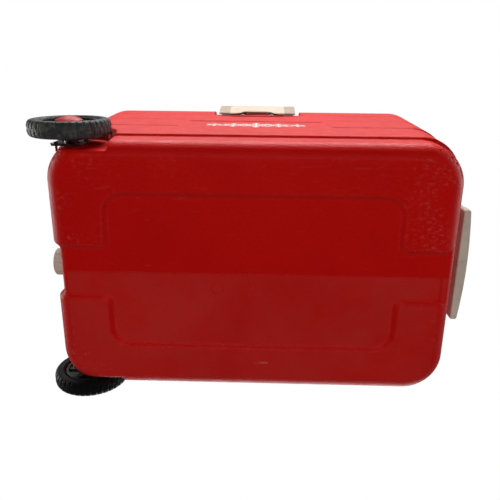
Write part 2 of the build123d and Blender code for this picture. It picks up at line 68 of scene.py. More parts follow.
SHELL_HIGH = box_mm("outer_shell")[1]
LID_LOW, LID_HIGH = box_mm("lid_shell")
WHEEL_LOW, WHEEL_HIGH = box_mm("tyre_front")
TOW_LOW, TOW_HIGH = box_mm("tow_handle")
LEVER_LOW, LEVER_HIGH = box_mm("latch_lever")
HINGE_LOW, HINGE_HIGH = box_mm("hinge_pins")
PLATE_HIGH = box_mm("axle_front")[1]

RIM_Z = SHELL_HIGH[2]
END_LEAN = 0.015
SIDE_LEAN = 0.030
STEP_OUT = 4.0
STEP_LOW = 53.0
STEP_HIGH = 57.0
BAND_OUT = 1.5
BAND_LOW = 138.0
BAND_HIGH = 139.5
HALF_LENGTH = SHELL_HIGH[0] - END_LEAN * RIM_Z - STEP_OUT - BAND_OUT
HALF_WIDTH = SHELL_HIGH[1] - SIDE_LEAN * RIM_Z - STEP_OUT - BAND_OUT
CORNER = 60.0
FOOT_ROUND = 26.0
SKIN = 3.0
GROOVE_Z = 217.0
GROOVE_WIDTH = 2.4
GROOVE_DEPTH = 1.5
PANEL_HALF = 124.0
PANEL_TOP = 200.0
PANEL_SLANT = 8.0
RECESS_X = 218.0
RECESS_Y = 122.0
RECESS_RADIUS = 30.0
RECESS_DEPTH = 5.0
RECESS_SLOPE = 4.0
RECESS_BLEND = 5.0
CHANNEL_HALF = 42.0
CHANNEL_END = 290.0
CHANNEL_BLEND = 14.0
POCKET_FLOOR = 289.0
POCKET_HALF = 38.0
POCKET_TOP = 80.0
POCKET_FLARE = 8.0
HOLD_FLOOR = 289.0
HOLD_HALF = 60.0
HOLD_LOW = 215.0
HOLD_HIGH = 262.0
HOLD_ROUND = 8.0
HINGE_X = (HINGE_HIGH[0] - HINGE_LOW[0]) / 2 - 30.0
HINGE_SEAT = 205.5
HINGE_SEAT_HALF = 32.0
HINGE_SEAT_RISE = 34.0
HINGE_Z = (HINGE_LOW[2] + HINGE_HIGH[2]) / 2
WHEEL_X = (WHEEL_LOW[0] + WHEEL_HIGH[0]) / 2
WHEEL_Z = (WHEEL_LOW[2] + WHEEL_HIGH[2]) / 2
WHEEL_RADIUS = (WHEEL_HIGH[2] - WHEEL_LOW[2]) / 2
WELL_FLOOR = -PLATE_HIGH[1]
WELL_RADIUS = 66.0
WELL_MOUTH = -206.5
LATCH_Y = -212.0
LATCH_Z = 334.0
LATCH_BARREL = 8.0
LIP_INNER = -211.0
ARCH_HALF = 36.0
ARCH_RISE = 5.0
ARCH_CUT = 12.0
LEVER_WALL = 3.2
LIP_THICK = 4.0
LEAN_TOP = 312.0
LEAN_SINE = 0.2
LEAN_COSINE = 0.98
EAR_MIDDLE = 23.0
EAR_SLOT = 3.4
EAR_DEPTH = 16.0
CHEEK_LINE = 50.0
CHEEK_GROOVE = 0.9
SCRATCH_PLACE = (15.0, 146.0)
SCRATCH_HALF = (13.0, 2.5)
SCRATCH_FADE = (4.0, 1.5)
TOW_X = 326.0
TOW_Z = 215.0
TOW_INNER = 319.5
TOW_BOW = 5.0
TOW_GRIP = 25.0
TOW_ARM = (75.0, 89.0)
TOW_ARM_RISE = 8.0
TOW_BOSS = 7.5
TOW_BOSS_HALF = 7.0
TOW_PIN = 4.06
NOTCH_HALF = 80.0
NOTCH_FLOOR = 202.0
LID_BOTTOM = LID_LOW[2]
LID_SHOULDER = 350.0
CROWN_TOP = LID_HIGH[2]
CROWN_INSET = 26.0
CROWN_SLOPE = 16.0
LID_ROUND = 12.0


# ---------------------------------------------------------------- implicit shapes


def ease(low, high, value):
    """Smooth rise from 0 at low to 1 at high."""
    t = np.clip((value - low) / (high - low), 0.0, 1.0)
    return t * t * (3 - 2 * t)


def soft_max(a, b, blend):
    """Larger of two fields, rounded where they meet."""
    h = np.clip(0.5 + 0.5 * (a - b) / blend, 0.0, 1.0)
    return b + (a - b) * h + blend * h * (1 - h)


def soft_min(a, b, blend):
    """Smaller of two fields, rounded where they meet."""
    return -soft_max(-a, -b, blend)


def round_max(a, b, radius):
    """Overlap of two solids with an outside edge of a true radius."""
    corner = np.hypot(np.maximum(a + radius, 0), np.maximum(b + radius, 0))
    return np.minimum(-radius, np.maximum(a, b)) + corner


def plan(x, y, half_x, half_y, radius):
    """Distance to a rounded rectangle in plan."""
    over_x = np.abs(x) - (half_x - radius)
    over_y = np.abs(y) - (half_y - radius)
    outside = np.hypot(np.maximum(over_x, 0), np.maximum(over_y, 0))
    return outside + np.minimum(np.maximum(over_x, over_y), 0) - radius


def wall_halves(z):
    """Half length and half width of the outer wall, without the front panel."""
    step = STEP_OUT * ease(STEP_LOW - 0.5, STEP_HIGH + 0.5, z)
    band = BAND_OUT * ease(BAND_LOW - 0.7, BAND_HIGH + 0.7, z)
    return HALF_LENGTH + END_LEAN * z + step + band, HALF_WIDTH + SIDE_LEAN * z + step + band


def panel_mask(x, y, z):
    """1 inside the plain panel of the front wall, 0 outside it."""
    slant = PANEL_SLANT * (z - BAND_LOW) / (PANEL_TOP - BAND_LOW)
    across = ease(-1.5, 1.5, PANEL_HALF - slant - np.abs(x))
    return across * ease(-1.0, 1.0, PANEL_TOP - z) * (y < 0)


def recess(x, y):
    """Distance to the outline of the underside recess with its two end channels."""
    inset = RECESS_SLOPE / 2
    middle = plan(x, y, RECESS_X - inset, RECESS_Y - inset, RECESS_RADIUS)
    narrow = CHANNEL_HALF - inset
    channel = np.maximum(np.abs(y) - narrow, x - CHANNEL_END + inset)
    return soft_min(middle, channel, CHANNEL_BLEND)


def pocket(x, y, z):
    """Drain pocket in the wheel end."""
    out = np.clip((-x - POCKET_FLOOR) / 24.0, 0, 1.5) * POCKET_FLARE
    across = soft_max(np.abs(y) - POCKET_HALF - out, z - POCKET_TOP - out, 16.0)
    return soft_max(across, x + POCKET_FLOOR, 5.0)


def wheel_well(x, y, z):
    """Both wheel wells, round over the wheel and straight below its axle."""
    around = np.hypot(x - WHEEL_X, z - WHEEL_Z) - WELL_RADIUS
    widest = WHEEL_X + WELL_RADIUS
    mouth = x - WELL_MOUTH - (widest - WELL_MOUTH) * z / WHEEL_Z
    opening = soft_min(around, np.maximum(mouth, z - WHEEL_Z), 2.0)
    return soft_max(opening, WELL_FLOOR - np.abs(y), 4.0)


def hand_hold(x, y, z):
    """Moulded hand hold in the wheel end."""
    middle = (HOLD_LOW + HOLD_HIGH) / 2
    opening = plan(y, z - middle, HOLD_HALF, (HOLD_HIGH - HOLD_LOW) / 2, HOLD_ROUND)
    return soft_max(opening, x + HOLD_FLOOR, 6.0)


def hinge_seats(x, y, z):
    """Flat seats for the two hinges."""
    across = np.abs(np.abs(x) - HINGE_X) - HINGE_SEAT_HALF
    up = np.abs(z - HINGE_Z) - HINGE_SEAT_RISE
    return np.maximum(np.maximum(across, up), HINGE_SEAT - y)


def parting_ridge(y):
    """Fine ridge that the two mould halves leave along the middle."""
    return 0.35 * np.exp(-((y / 0.7) ** 2))


def body_sides(x, y, z):
    """Outer skin of the chest without its top."""
    half_x, half_y = wall_halves(z)
    mask = panel_mask(x, y, z)
    half_y = half_y - BAND_OUT * ease(BAND_LOW - 0.7, BAND_HIGH + 0.7, z) * mask
    groove = GROOVE_DEPTH * ease(GROOVE_WIDTH, GROOVE_WIDTH / 4, np.abs(z - GROOVE_Z))
    groove = groove * (1 - ease(-1.5, 1.5, PANEL_HALF - np.abs(x)) * (y < 0))
    sides = plan(x, y, half_x, half_y, CORNER) + groove
    hollow = RECESS_DEPTH * ease(-RECESS_BLEND, RECESS_BLEND, -recess(x, y))
    below = hollow - z - parting_ridge(y)
    body = round_max(sides, below, FOOT_ROUND)
    body = soft_max(body, -pocket(x, y, z), 5.0)
    body = soft_max(body, -wheel_well(x, y, z), 5.0)
    return soft_max(body, -hand_hold(x, y, z), 5.0)


def body_shell(x, y, z):
    """Outer shell of the chest, open at the rim."""
    sides = body_sides(x, y, z)
    outer = soft_max(sides, z - RIM_Z, 1.2)
    outer = soft_max(outer, -hinge_seats(x, y, z), 1.0)
    return np.maximum(outer, -(sides + SKIN))


def lid_skin(x, y, z, inset):
    """Skin of the lid without its open underside."""
    half_x, half_y = wall_halves(z)
    sides = plan(x, y, half_x, half_y, CORNER) + inset
    top_x, top_y = wall_halves(np.float64(LID_SHOULDER))
    ring = plan(x, y, top_x - CROWN_INSET, top_y - CROWN_INSET, CORNER - 8)
    crown = (CROWN_TOP - LID_SHOULDER) * ease(-2.0, CROWN_SLOPE + 2.0, -ring)
    above = z - LID_SHOULDER - crown + inset
    form = round_max(sides, above, LID_ROUND - inset)
    notch = np.maximum(np.abs(x) - NOTCH_HALF, y + NOTCH_FLOOR)
    form = soft_max(form, -notch + inset, 2.0)
    return form


def lid_shell(x, y, z):
    """Lid cover: a hollow tray open at the bottom."""
    outer = soft_max(lid_skin(x, y, z, 0.0), LID_BOTTOM - z, 1.2)
    outer = soft_max(outer, -hinge_seats(x, y, z), 1.0)
    return np.maximum(outer, -lid_skin(x, y, z, SKIN))


# -------------------------------------------------------------- fields into meshes


def ticks(*spans):
    """Grid lines from (start, stop, spacing) spans that follow on from each other."""
    lines = []
    for start, stop, spacing in spans:
        count = max(1, int(round((stop - start) / spacing)))
        lines.extend(np.linspace(start, stop, count, endpoint=False))
    lines.append(spans[-1][1])
    return np.array(lines)


def mirrored(lines):
    """Grid lines on both sides of zero from those at one side."""
    return np.concatenate([-lines[::-1], lines[lines > 0]])


def surface_net(axes, field):
    """Points and quads of the surface where the field on a grid changes sign."""
    inside = field < 0
    shape = tuple(n - 1 for n in field.shape)
    full = np.zeros(shape, np.int8)
    for dx in (0, 1):
        for dy in (0, 1):
            for dz in (0, 1):
                full += inside[dx:dx + shape[0], dy:dy + shape[1], dz:dz + shape[2]]
    active = (full > 0) & (full < 8)
    count = int(active.sum())
    number = np.full(shape, -1, np.int64)
    number[active] = np.arange(count)
    sums = np.zeros((count, 3))
    weight = np.zeros(count)
    quads = []
    for axis in range(3):
        low = np.moveaxis(field, axis, 0)[:-1]
        high = np.moveaxis(field, axis, 0)[1:]
        crossing = np.moveaxis((low < 0) != (high < 0), 0, axis)
        low = np.moveaxis(low, 0, axis)[crossing]
        high = np.moveaxis(high, 0, axis)[crossing]
        at = np.argwhere(crossing)
        point = np.stack([axes[k][at[:, k]] for k in range(3)], 1)
        line = axes[axis]
        point[:, axis] += low / (low - high) * (line[at[:, axis] + 1] - line[at[:, axis]])
        u, v = (axis + 1) % 3, (axis + 2) % 3
        corners = []
        for du, dv in ((0, 0), (1, 0), (1, 1), (0, 1)):
            cell = at.copy()
            cell[:, u] -= du
            cell[:, v] -= dv
            ids = number[cell[:, 0], cell[:, 1], cell[:, 2]]
            corners.append(ids)
            weight += np.bincount(ids, minlength=count)
            for k in range(3):
                sums[:, k] += np.bincount(ids, weights=point[:, k], minlength=count)
        quad = np.stack(corners, 1)
        flip = low >= 0
        quad[flip] = quad[flip][:, ::-1]
        quads.append(quad)
    return sums / weight[:, None], np.concatenate(quads)


def gradient(shape, points, step=0.05):
    """Slope of a field at points."""
    slope = np.zeros_like(points)
    for k in range(3):
        ahead = points.copy()
        behind = points.copy()
        ahead[:, k] += step
        behind[:, k] -= step
        slope[:, k] = (shape(*ahead.T) - shape(*behind.T)) / (2 * step)
    return slope


def implicit_mesh(name, shape, axes, edge_reach=1.2):
    """Object whose skin is where the field is zero, with a measure of how sharp each edge is."""
    grid = np.meshgrid(*axes, indexing="ij", sparse=True)
    field = np.broadcast_to(shape(*grid), tuple(len(a) for a in axes)).copy()
    points, quads = surface_net(axes, field)
    for _ in range(2):
        slope = gradient(shape, points)
        size = np.maximum((slope**2).sum(1), 0.05)
        move = slope * (shape(*points.T) / size)[:, None]
        length = np.maximum(np.linalg.norm(move, axis=1), 1e-9)
        points = points - move * np.minimum(1.0, 0.8 / length)[:, None]
    slope = gradient(shape, points)
    normal = slope / np.maximum(np.linalg.norm(slope, axis=1), 1e-6)[:, None]
    buried = shape(*(points - normal * edge_reach).T)
    edge = np.clip((buried + edge_reach) / edge_reach, 0.0, 1.0)
    mesh = bpy.data.meshes.new(name)
    mesh.from_pydata((points * MM).tolist(), [], quads.tolist())
    mesh.shade_smooth()
    layer = mesh.attributes.new("edge", "FLOAT", "POINT")
    layer.data.foreach_set("value", edge.astype(np.float32))
    piece = bpy.data.objects.new(name, mesh)
    bpy.context.scene.collection.objects.link(piece)
    return piece


def mesh_piece(name, points, faces, smooth=True):
    """Object from points in millimetres."""
    mesh = bpy.data.meshes.new(name)
    mesh.from_pydata([tuple(c * MM for c in p) for p in points], [], faces)
    if smooth:
        mesh.shade_smooth()
    piece = bpy.data.objects.new(name, mesh)
    bpy.context.scene.collection.objects.link(piece)
    return piece


# --------------------------------------------------------------------- materials


class Finish:
    """A material with its node tree, built one step at a time."""

    def __init__(self, name, roughness=0.5, specular=0.5):
        self.material = bpy.data.materials.new(name)
        self.material.use_nodes = True
        self.tree = self.material.node_tree
        self.shader = self.tree.nodes["Principled BSDF"]
        self.shader.inputs["Roughness"].default_value = roughness
        self.shader.inputs["Specular IOR Level"].default_value = specular
        self.place = self.tree.nodes.new("ShaderNodeTexCoord").outputs["Object"]

    def link(self, source, target):
        self.tree.links.new(source, target)

    def scaled(self, x, y, z):
        """Object position stretched by a factor along each axis."""
        node = self.tree.nodes.new("ShaderNodeMapping")
        node.inputs["Scale"].default_value = (x, y, z)
        self.link(self.place, node.inputs["Vector"])
        return node.outputs["Vector"]

    def noise(self, scale, detail=3.0, vector=None, roughness=0.55, distortion=0.0):
        node = self.tree.nodes.new("ShaderNodeTexNoise")
        node.inputs["Scale"].default_value = scale
        node.inputs["Detail"].default_value = detail
        node.inputs["Roughness"].default_value = roughness
        node.inputs["Distortion"].default_value = distortion
        self.link(vector or self.place, node.inputs["Vector"])
        return node.outputs["Fac"]

    def cells(self, scale, smoothness=0.8):
        node = self.tree.nodes.new("ShaderNodeTexVoronoi")
        node.feature = "SMOOTH_F1"
        node.inputs["Scale"].default_value = scale
        node.inputs["Smoothness"].default_value = smoothness
        self.link(self.place, node.inputs["Vector"])
        return node.outputs["Distance"]

    def ramp(self, value, low, high, to_low=0.0, to_high=1.0):
        node = self.tree.nodes.new("ShaderNodeMapRange")
        node.interpolation_type = "SMOOTHSTEP"
        node.inputs["From Min"].default_value = low
        node.inputs["From Max"].default_value = high
        node.inputs["To Min"].default_value = to_low
        node.inputs["To Max"].default_value = to_high
        self.link(value, node.inputs["Value"])
        return node.outputs["Result"]

    def window(self, axis, place, half, fade):
        """Mask that is full on one stretch of an axis and fades at both ends."""
        value = self.axis(axis)
        begin = self.ramp(value, (place - half) * MM, (place - half + fade) * MM)
        end = self.ramp(value, (place + half) * MM, (place + half - fade) * MM)
        return self.math("MULTIPLY", begin, end)

    def math(self, operation, a, b=None):
        node = self.tree.nodes.new("ShaderNodeMath")
        node.operation = operation
        node.use_clamp = True
        for socket, value in zip(node.inputs, (a, b)):
            if value is None:
                continue
            if isinstance(value, (int, float)):
                socket.default_value = value
            else:
                self.link(value, socket)
        return node.outputs[0]

    def mix(self, mask, a, b):
        """Colour a where the mask is 0 and b where it is 1."""
        node = self.tree.nodes.new("ShaderNodeMix")
        node.data_type = "RGBA"
        self.link(mask, node.inputs["Factor"])
        for index, value in ((6, a), (7, b)):
            if isinstance(value, tuple):
                node.inputs[index].default_value = (*value, 1.0)
            else:
                self.link(value, node.inputs[index])
        return node.outputs[2]

    def attribute(self, name):
        node = self.tree.nodes.new("ShaderNodeAttribute")
        node.attribute_name = name
        return node.outputs["Fac"]

    def axis(self, name):
        node = self.tree.nodes.new("ShaderNodeSeparateXYZ")
        self.link(self.place, node.inputs[0])
        return node.outputs[name]

    def facing(self, name):
        """How far the surface faces along an axis."""
        geometry = self.tree.nodes.new("ShaderNodeNewGeometry")
        node = self.tree.nodes.new("ShaderNodeSeparateXYZ")
        self.link(geometry.outputs["True Normal"], node.inputs[0])
        return node.outputs[name]

    def bump(self, *layers):
        """Stacked bumps, each a height socket with its depth in millimetres."""
        last = None
        for height, depth in layers:
            node = self.tree.nodes.new("ShaderNodeBump")
            node.inputs["Distance"].default_value = depth * MM
            self.link(height, node.inputs["Height"])
            if last is not None:
                self.link(last, node.inputs["Normal"])
            last = node.outputs["Normal"]
        self.link(last, self.shader.inputs["Normal"])

    def finish(self, colour, roughness=None):
        if isinstance(colour, tuple):
            self.shader.inputs["Base Color"].default_value = (*colour, 1.0)
        else:
            self.link(colour, self.shader.inputs["Base Color"])
        if roughness is not None:
            self.link(roughness, self.shader.inputs["Roughness"])
        return self.material


def red_plastic(name, worn_and_sheen):
    """Pebbled red polyethylene, scuffed on its edges. With the flag set it is also scuffed on the ends of
    the feet and has a painted greyish reflection over the flat rear half of the underside.
    """
    f = Finish(name, specular=0.4)
    broad = f.noise(5.0, 3.0)
    red = f.mix(f.ramp(broad, 0.3, 0.7), (0.56, 0.0018, 0.0008), (0.61, 0.0030, 0.0014))
    chips = f.ramp(f.noise(90.0, 6.0, None, 0.7), 0.45, 0.70)
    mask = f.math("MULTIPLY", f.math("MULTIPLY", f.ramp(f.attribute("edge"), 0.25, 0.7), chips), 0.16)
    if worn_and_sheen:
        speckle = f.ramp(f.noise(150.0, 5.0, f.scaled(0.8, 1.2, 1.0), 0.75), 0.50, 0.72)
        patch = f.ramp(f.noise(11.0, 3.0), 0.38, 0.66)
        outer = f.ramp(f.math("ABSOLUTE", f.axis("X")), 0.20, 0.27, 0.25, 1.0)
        down = f.ramp(f.facing("Z"), -0.7, -0.98)
        low = f.ramp(f.axis("Z"), 2.5 * MM, 1.0 * MM)
        foot = f.math("MULTIPLY", f.math("MULTIPLY", down, low), f.math("MULTIPLY", outer, patch))
        scuff = f.math("MULTIPLY", f.math("MULTIPLY", foot, speckle), 0.42)
        mask = f.math("MAXIMUM", mask, scuff)
        hair = f.ramp(f.noise(30.0, 2.0, f.scaled(0.5, 6.0, 1.0), 0.5, 1.5), 0.70, 0.74)
        mask = f.math("MAXIMUM", mask, f.math("MULTIPLY", f.math("MULTIPLY", hair, down), 0.05))
        # Painted reflection: a faint greyish sheen in noisy patches over the flat rear half of the
        # underside, laid on with the scuff colour.
        rear = f.ramp(f.axis("Y"), -1.0 * MM, 1.0 * MM)
        flat = f.ramp(f.facing("Z"), -0.96, -0.995)
        along = f.window("X", SCRATCH_PLACE[0], SCRATCH_HALF[0], SCRATCH_FADE[0])
        across = f.window("Y", SCRATCH_PLACE[1], SCRATCH_HALF[1], SCRATCH_FADE[1])
        streak = f.ramp(f.noise(60.0, 4.0, f.scaled(0.6, 5.0, 1.0), 0.6), 0.40, 0.60, 0.0, 0.45)
        scratch = f.math("MULTIPLY", f.math("MULTIPLY", along, across), streak)
        mask = f.math("MAXIMUM", mask, f.math("MULTIPLY", scratch, down))
        rear_painted_sheen = f.ramp(f.noise(7.0, 5.0, None, 0.6), 0.3, 0.7, 0.03, 0.09)
        mask = f.math("MAXIMUM", mask, f.math("MULTIPLY", f.math("MULTIPLY", rear, flat), rear_painted_sheen))
    # The scuff colour carries the real scuffs and also the painted greyish sheen of the rear underside.
    colour = f.mix(mask, red, (0.50, 0.20, 0.17))
    rough = f.ramp(f.noise(45.0, 4.0), 0.2, 0.8, 0.42, 0.54)
    f.bump(
        (f.cells(400.0), 0.26),
        (f.noise(260.0, 3.0), 0.16),
        (f.noise(18.0, 2.0), 0.4),
    )
    return f.finish(colour, rough)


def aged_plastic(name, light, dark, dirt, grain=0.06):
    """Smooth aged moulding with grime gathered in patches."""
    f = Finish(name, specular=0.45)
    tone = f.mix(f.ramp(f.noise(14.0, 4.0), 0.35, 0.7), light, dark)
    grime = f.math("MULTIPLY", f.ramp(f.noise(70.0, 6.0, None, 0.7), 0.5, 0.75), 0.5)
    colour = f.mix(grime, tone, dirt)
    rough = f.ramp(f.noise(40.0, 3.0), 0.2, 0.8, 0.36, 0.52)
    f.bump((f.noise(500.0, 2.0), grain), (f.noise(30.0, 2.0), 0.2))
    return f.finish(colour, rough)


def lever_plastic():
    """Cream moulding, darker and greyer on its two end cheeks."""
    f = Finish("lever_moulding", specular=0.45)
    tone = f.mix(f.ramp(f.noise(14.0, 4.0), 0.35, 0.7), (0.66, 0.54, 0.42), (0.60, 0.48, 0.36))
    cheek = f.ramp(f.math("ABSOLUTE", f.axis("X")), (CHEEK_LINE - 1) * MM, (CHEEK_LINE + 1) * MM)
    tone = f.mix(f.math("MULTIPLY", cheek, 0.8), tone, (0.36, 0.25, 0.19))
    grime = f.math("MULTIPLY", f.ramp(f.noise(70.0, 6.0, None, 0.7), 0.5, 0.75), 0.4)
    colour = f.mix(grime, tone, (0.50, 0.38, 0.28))
    rough = f.ramp(f.noise(40.0, 3.0), 0.2, 0.8, 0.36, 0.52)
    f.bump((f.noise(500.0, 2.0), 0.05), (f.noise(30.0, 2.0), 0.2))
    return f.finish(colour, rough)


def tyre_plastic(name, clean, dusty, specular):
    """Black moulding with a grey film of road dust."""
    f = Finish(name, specular=specular)
    dust = f.ramp(f.noise(90.0, 6.0, None, 0.7), 0.45, 0.75)
    colour = f.mix(f.math("MULTIPLY", dust, 0.6), clean, dusty)
    rough = f.ramp(f.noise(50.0, 3.0), 0.2, 0.8, 0.38, 0.58)
    f.bump((f.noise(700.0, 3.0), 0.05), (f.noise(60.0, 2.0), 0.15))
    return f.finish(colour, rough)


def black_plastic():
    f = Finish("black_moulding", specular=0.4)
    colour = f.mix(f.ramp(f.noise(80.0, 5.0), 0.4, 0.8), (0.014, 0.014, 0.015), (0.045, 0.042, 0.04))
    rough = f.ramp(f.noise(60.0, 3.0), 0.2, 0.8, 0.42, 0.6)
    f.bump((f.noise(600.0, 3.0), 0.05), (f.noise(50.0, 2.0), 0.1))
    return f.finish(colour, rough)


def zinc_steel():
    f = Finish("zinc_steel")
    f.shader.inputs["Metallic"].default_value = 1.0
    brushed = f.noise(300.0, 4.0, f.scaled(1.0, 1.0, 0.08))
    colour = f.mix(f.ramp(f.noise(40.0, 4.0), 0.4, 0.7), (0.60, 0.60, 0.60), (0.44, 0.42, 0.40))
    rough = f.ramp(brushed, 0.2, 0.8, 0.26, 0.46)
    f.bump((brushed, 0.03), (f.noise(900.0, 2.0), 0.02))
    return f.finish(colour, rough)


def soft_rubber():
    f = Finish("seal_rubber", specular=0.3)
    colour = f.mix(f.ramp(f.noise(50.0, 4.0), 0.3, 0.7), (0.16, 0.16, 0.155), (0.24, 0.235, 0.23))
    rough = f.ramp(f.noise(90.0, 3.0), 0.2, 0.8, 0.6, 0.78)
    f.bump((f.noise(800.0, 2.0), 0.04), (f.noise(120.0, 2.0), 0.08))
    return f.finish(colour, rough)


def liner_plastic():
    f = Finish("liner_plastic", specular=0.5)
    tone = f.mix(f.ramp(f.noise(8.0, 4.0), 0.35, 0.7), (0.80, 0.80, 0.77), (0.72, 0.71, 0.66))
    stain = f.math("MULTIPLY", f.ramp(f.noise(30.0, 6.0, None, 0.65), 0.55, 0.8), 0.35)
    colour = f.mix(stain, tone, (0.50, 0.44, 0.34))
    rough = f.ramp(f.noise(25.0, 3.0), 0.2, 0.8, 0.24, 0.42)
    f.bump((f.noise(350.0, 2.0), 0.04), (f.noise(14.0, 2.0), 0.4))
    return f.finish(colour, rough)


def foam_fill():
    f = Finish("foam_fill", specular=0.2)
    colour = f.mix(f.ramp(f.noise(20.0, 4.0), 0.3, 0.7), (0.72, 0.60, 0.33), (0.80, 0.70, 0.45))
    rough = f.ramp(f.noise(50.0, 3.0), 0.2, 0.8, 0.7, 0.9)
    f.bump((f.cells(500.0), 0.3), (f.noise(120.0, 3.0), 0.3))
    return f.finish(colour, rough)


def print_white():
    f = Finish("printed_white", specular=0.4)
    wear = f.ramp(f.noise(120.0, 6.0, None, 0.7), 0.56, 0.72)
    colour = f.mix(f.math("MULTIPLY", wear, 0.7), (0.86, 0.85, 0.83), (0.62, 0.20, 0.17))
    rough = f.ramp(f.noise(80.0, 3.0), 0.2, 0.8, 0.35, 0.5)
    f.bump((f.cells(620.0), 0.12), (f.noise(260.0, 2.0), 0.08))
    return f.finish(colour, rough)


FINISHES = {
    "red_shell": red_plastic("red_polyethylene_cad", False),
    "white_liner": liner_plastic(),
    "foam": foam_fill(),
    "grey_rubber": soft_rubber(),
    "cream_plastic": aged_plastic(
        "cream_moulding", (0.84, 0.74, 0.60), (0.78, 0.66, 0.51), (0.50, 0.38, 0.26)
    ),
    "drain_cream": aged_plastic(
        "drain_moulding", (0.66, 0.54, 0.44), (0.56, 0.45, 0.36), (0.34, 0.24, 0.18)
    ),
    "handle_cream": aged_plastic(
        "handle_moulding", (0.62, 0.56, 0.47), (0.56, 0.50, 0.41), (0.34, 0.28, 0.21)
    ),
    "steel": zinc_steel(),
    # Painted light and shade: both tyres are the same moulding, but the front one is painted lighter and
    # greyer and the back one is painted darker, to stand for how light falls on each.
    "tyre": tyre_plastic("tyre_front_painted_light", (0.034, 0.034, 0.034), (0.19, 0.187, 0.175), 0.45),
    "tyre_back": tyre_plastic("tyre_back_painted_shade", (0.005, 0.005, 0.005), (0.012, 0.011, 0.010), 0.2),
    "black_plastic": black_plastic(),
    "bush_nylon": aged_plastic(
        "bush_nylon", (0.72, 0.70, 0.64), (0.66, 0.63, 0.57), (0.40, 0.36, 0.30)
    ),
    "hub_red": aged_plastic("hub_red", (0.50, 0.012, 0.010), (0.42, 0.009, 0.008), (0.22, 0.03, 0.02)),
}
LEVER = lever_plastic()
RED_WORN_AND_SHEEN = red_plastic("red_polyethylene_worn_and_sheen", True)
RED_LID = red_plastic("red_polyethylene_lid", False)
RED_MARK = aged_plastic("red_rubbed", (0.62, 0.030, 0.022), (0.58, 0.008, 0.005), (0.45, 0.004, 0.002))
PRINT = print_white()


def dress(piece, material):
    piece.data.materials.clear()
    piece.data.materials.append(material)


def dress_frame():
    """Every CAD node gets the finish of its slot."""
    slots = {row["node"]: row["material_slot"] for row in frame["record"]["subparts"]}
    for name, piece in nodes.items():
        material = FINISHES[slots[name]]
        if not piece.material_slots:
            piece.data.materials.append(material)
        for place in piece.material_slots:
            place.material = material


# ------------------------------------------------------------------ chest and lid


def grid_x():
    return mirrored(
        ticks(
            (0, 74, 8), (74, 86, 1.2), (86, 118, 8), (118, 130, 1.5), (130, 150, 4),
            (150, 204, 5), (204, 222, 1.8),
            (222, 276, 3), (276, 294, 2), (294, 322, 1.6),
        )
    )


def grid_y():
    return mirrored(
        ticks(
            (0, 2.5, 0.5), (2.5, 26, 5), (26, 56, 2), (56, 66, 1.2), (66, 106, 5), (106, 126, 1.8),
            (126, 158, 4), (158, 178, 2.5), (178, 216, 1.6),
        )
    )


def make_body():
    grid_z = ticks(
        (-4, 10, 1), (10, 30, 2), (30, 50, 3), (50, 60, 1), (60, 134, 4), (134, 142, 0.8), (142, 195, 5),
        (195, 204, 1.2), (204, 213, 3), (213, 221, 0.8), (221, 255, 3.5), (255, 267, 1.2), (267, 280, 3),
        (280, 290, 1),
    )
    body = implicit_mesh("chest_shell", body_shell, (grid_x(), grid_y(), grid_z))
    dress(body, RED_WORN_AND_SHEEN)
    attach(body, "chest")
    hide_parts("outer_shell")


def make_lid():
    grid_z = ticks((284, 292, 1), (292, 320, 4), (320, 340, 2), (340, 364, 1.5))
    lid = implicit_mesh("lid_cover", lid_shell, (grid_x(), grid_y(), grid_z))
    dress(lid, RED_LID)
    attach(lid, "lid")
    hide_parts("lid_shell")


# ------------------------------------------------------------ latch and tow handle


def box_field(x, y, z, low, high, radius):
    """Distance to a box with rounded edges, from its low and high corners."""
    spans = []
    for value, a, b in zip((x, y, z), low, high):
        spans.append(np.abs(value - (a + b) / 2) - (b - a) / 2 + radius)
    outside = np.sqrt(sum(np.maximum(span, 0) ** 2 for span in spans))
    inside = np.minimum(np.maximum(np.maximum(spans[0], spans[1]), spans[2]), 0)
    return outside + inside - radius


def lever_shape(x, y, z):
    """Latch lever: barrel, front plate, end walls and a lip with a finger arch."""
    half = LEVER_HIGH[0]
    front, low = LEVER_LOW[1], LEVER_LOW[2]
    back = LIP_INNER
    mirror = np.abs(x)
    barrel = round_max(np.hypot(y - LATCH_Y, z - LATCH_Z) - LATCH_BARREL, mirror - half, 1.2)
    lean = LEAN_SINE * np.maximum(LEAN_TOP - z, 0)
    plate = box_field(x, y - lean, z, (-half, front, low), (half, front + LEVER_WALL, LATCH_Z), 1.5)
    lip = box_field(x, y, z, (-half, front, low), (half, back, low + LIP_THICK), 1.5)
    radius = (ARCH_HALF**2 + ARCH_RISE**2) / (2 * ARCH_RISE)
    arch = np.hypot(x, y - back - radius + ARCH_RISE) - radius
    lip = soft_max(lip, -arch, 1.5)
    wall = box_field(mirror, y, z, (half - LEVER_WALL, front, low), (half, back, LATCH_Z), 1.5)
    shape = soft_min(soft_min(plate, barrel, 2.0), soft_min(lip, wall, 1.5), 1.5)
    shape = soft_max(shape, LEAN_COSINE * (front - y) + LEAN_SINE * (LEAN_TOP - z), 3.0)
    shape = soft_max(shape, -np.maximum(arch, z - low - ARCH_CUT), 0.8)
    slot = np.maximum(np.abs(mirror - EAR_MIDDLE) - EAR_SLOT, front + 3.0 - y)
    shape = soft_max(shape, -np.maximum(slot, LATCH_Z - EAR_DEPTH - z), 0.6)
    line = np.hypot(mirror - CHEEK_LINE, y - front - lean) - CHEEK_GROOVE
    return soft_max(shape, -np.maximum(line, z - LATCH_Z), 0.4)


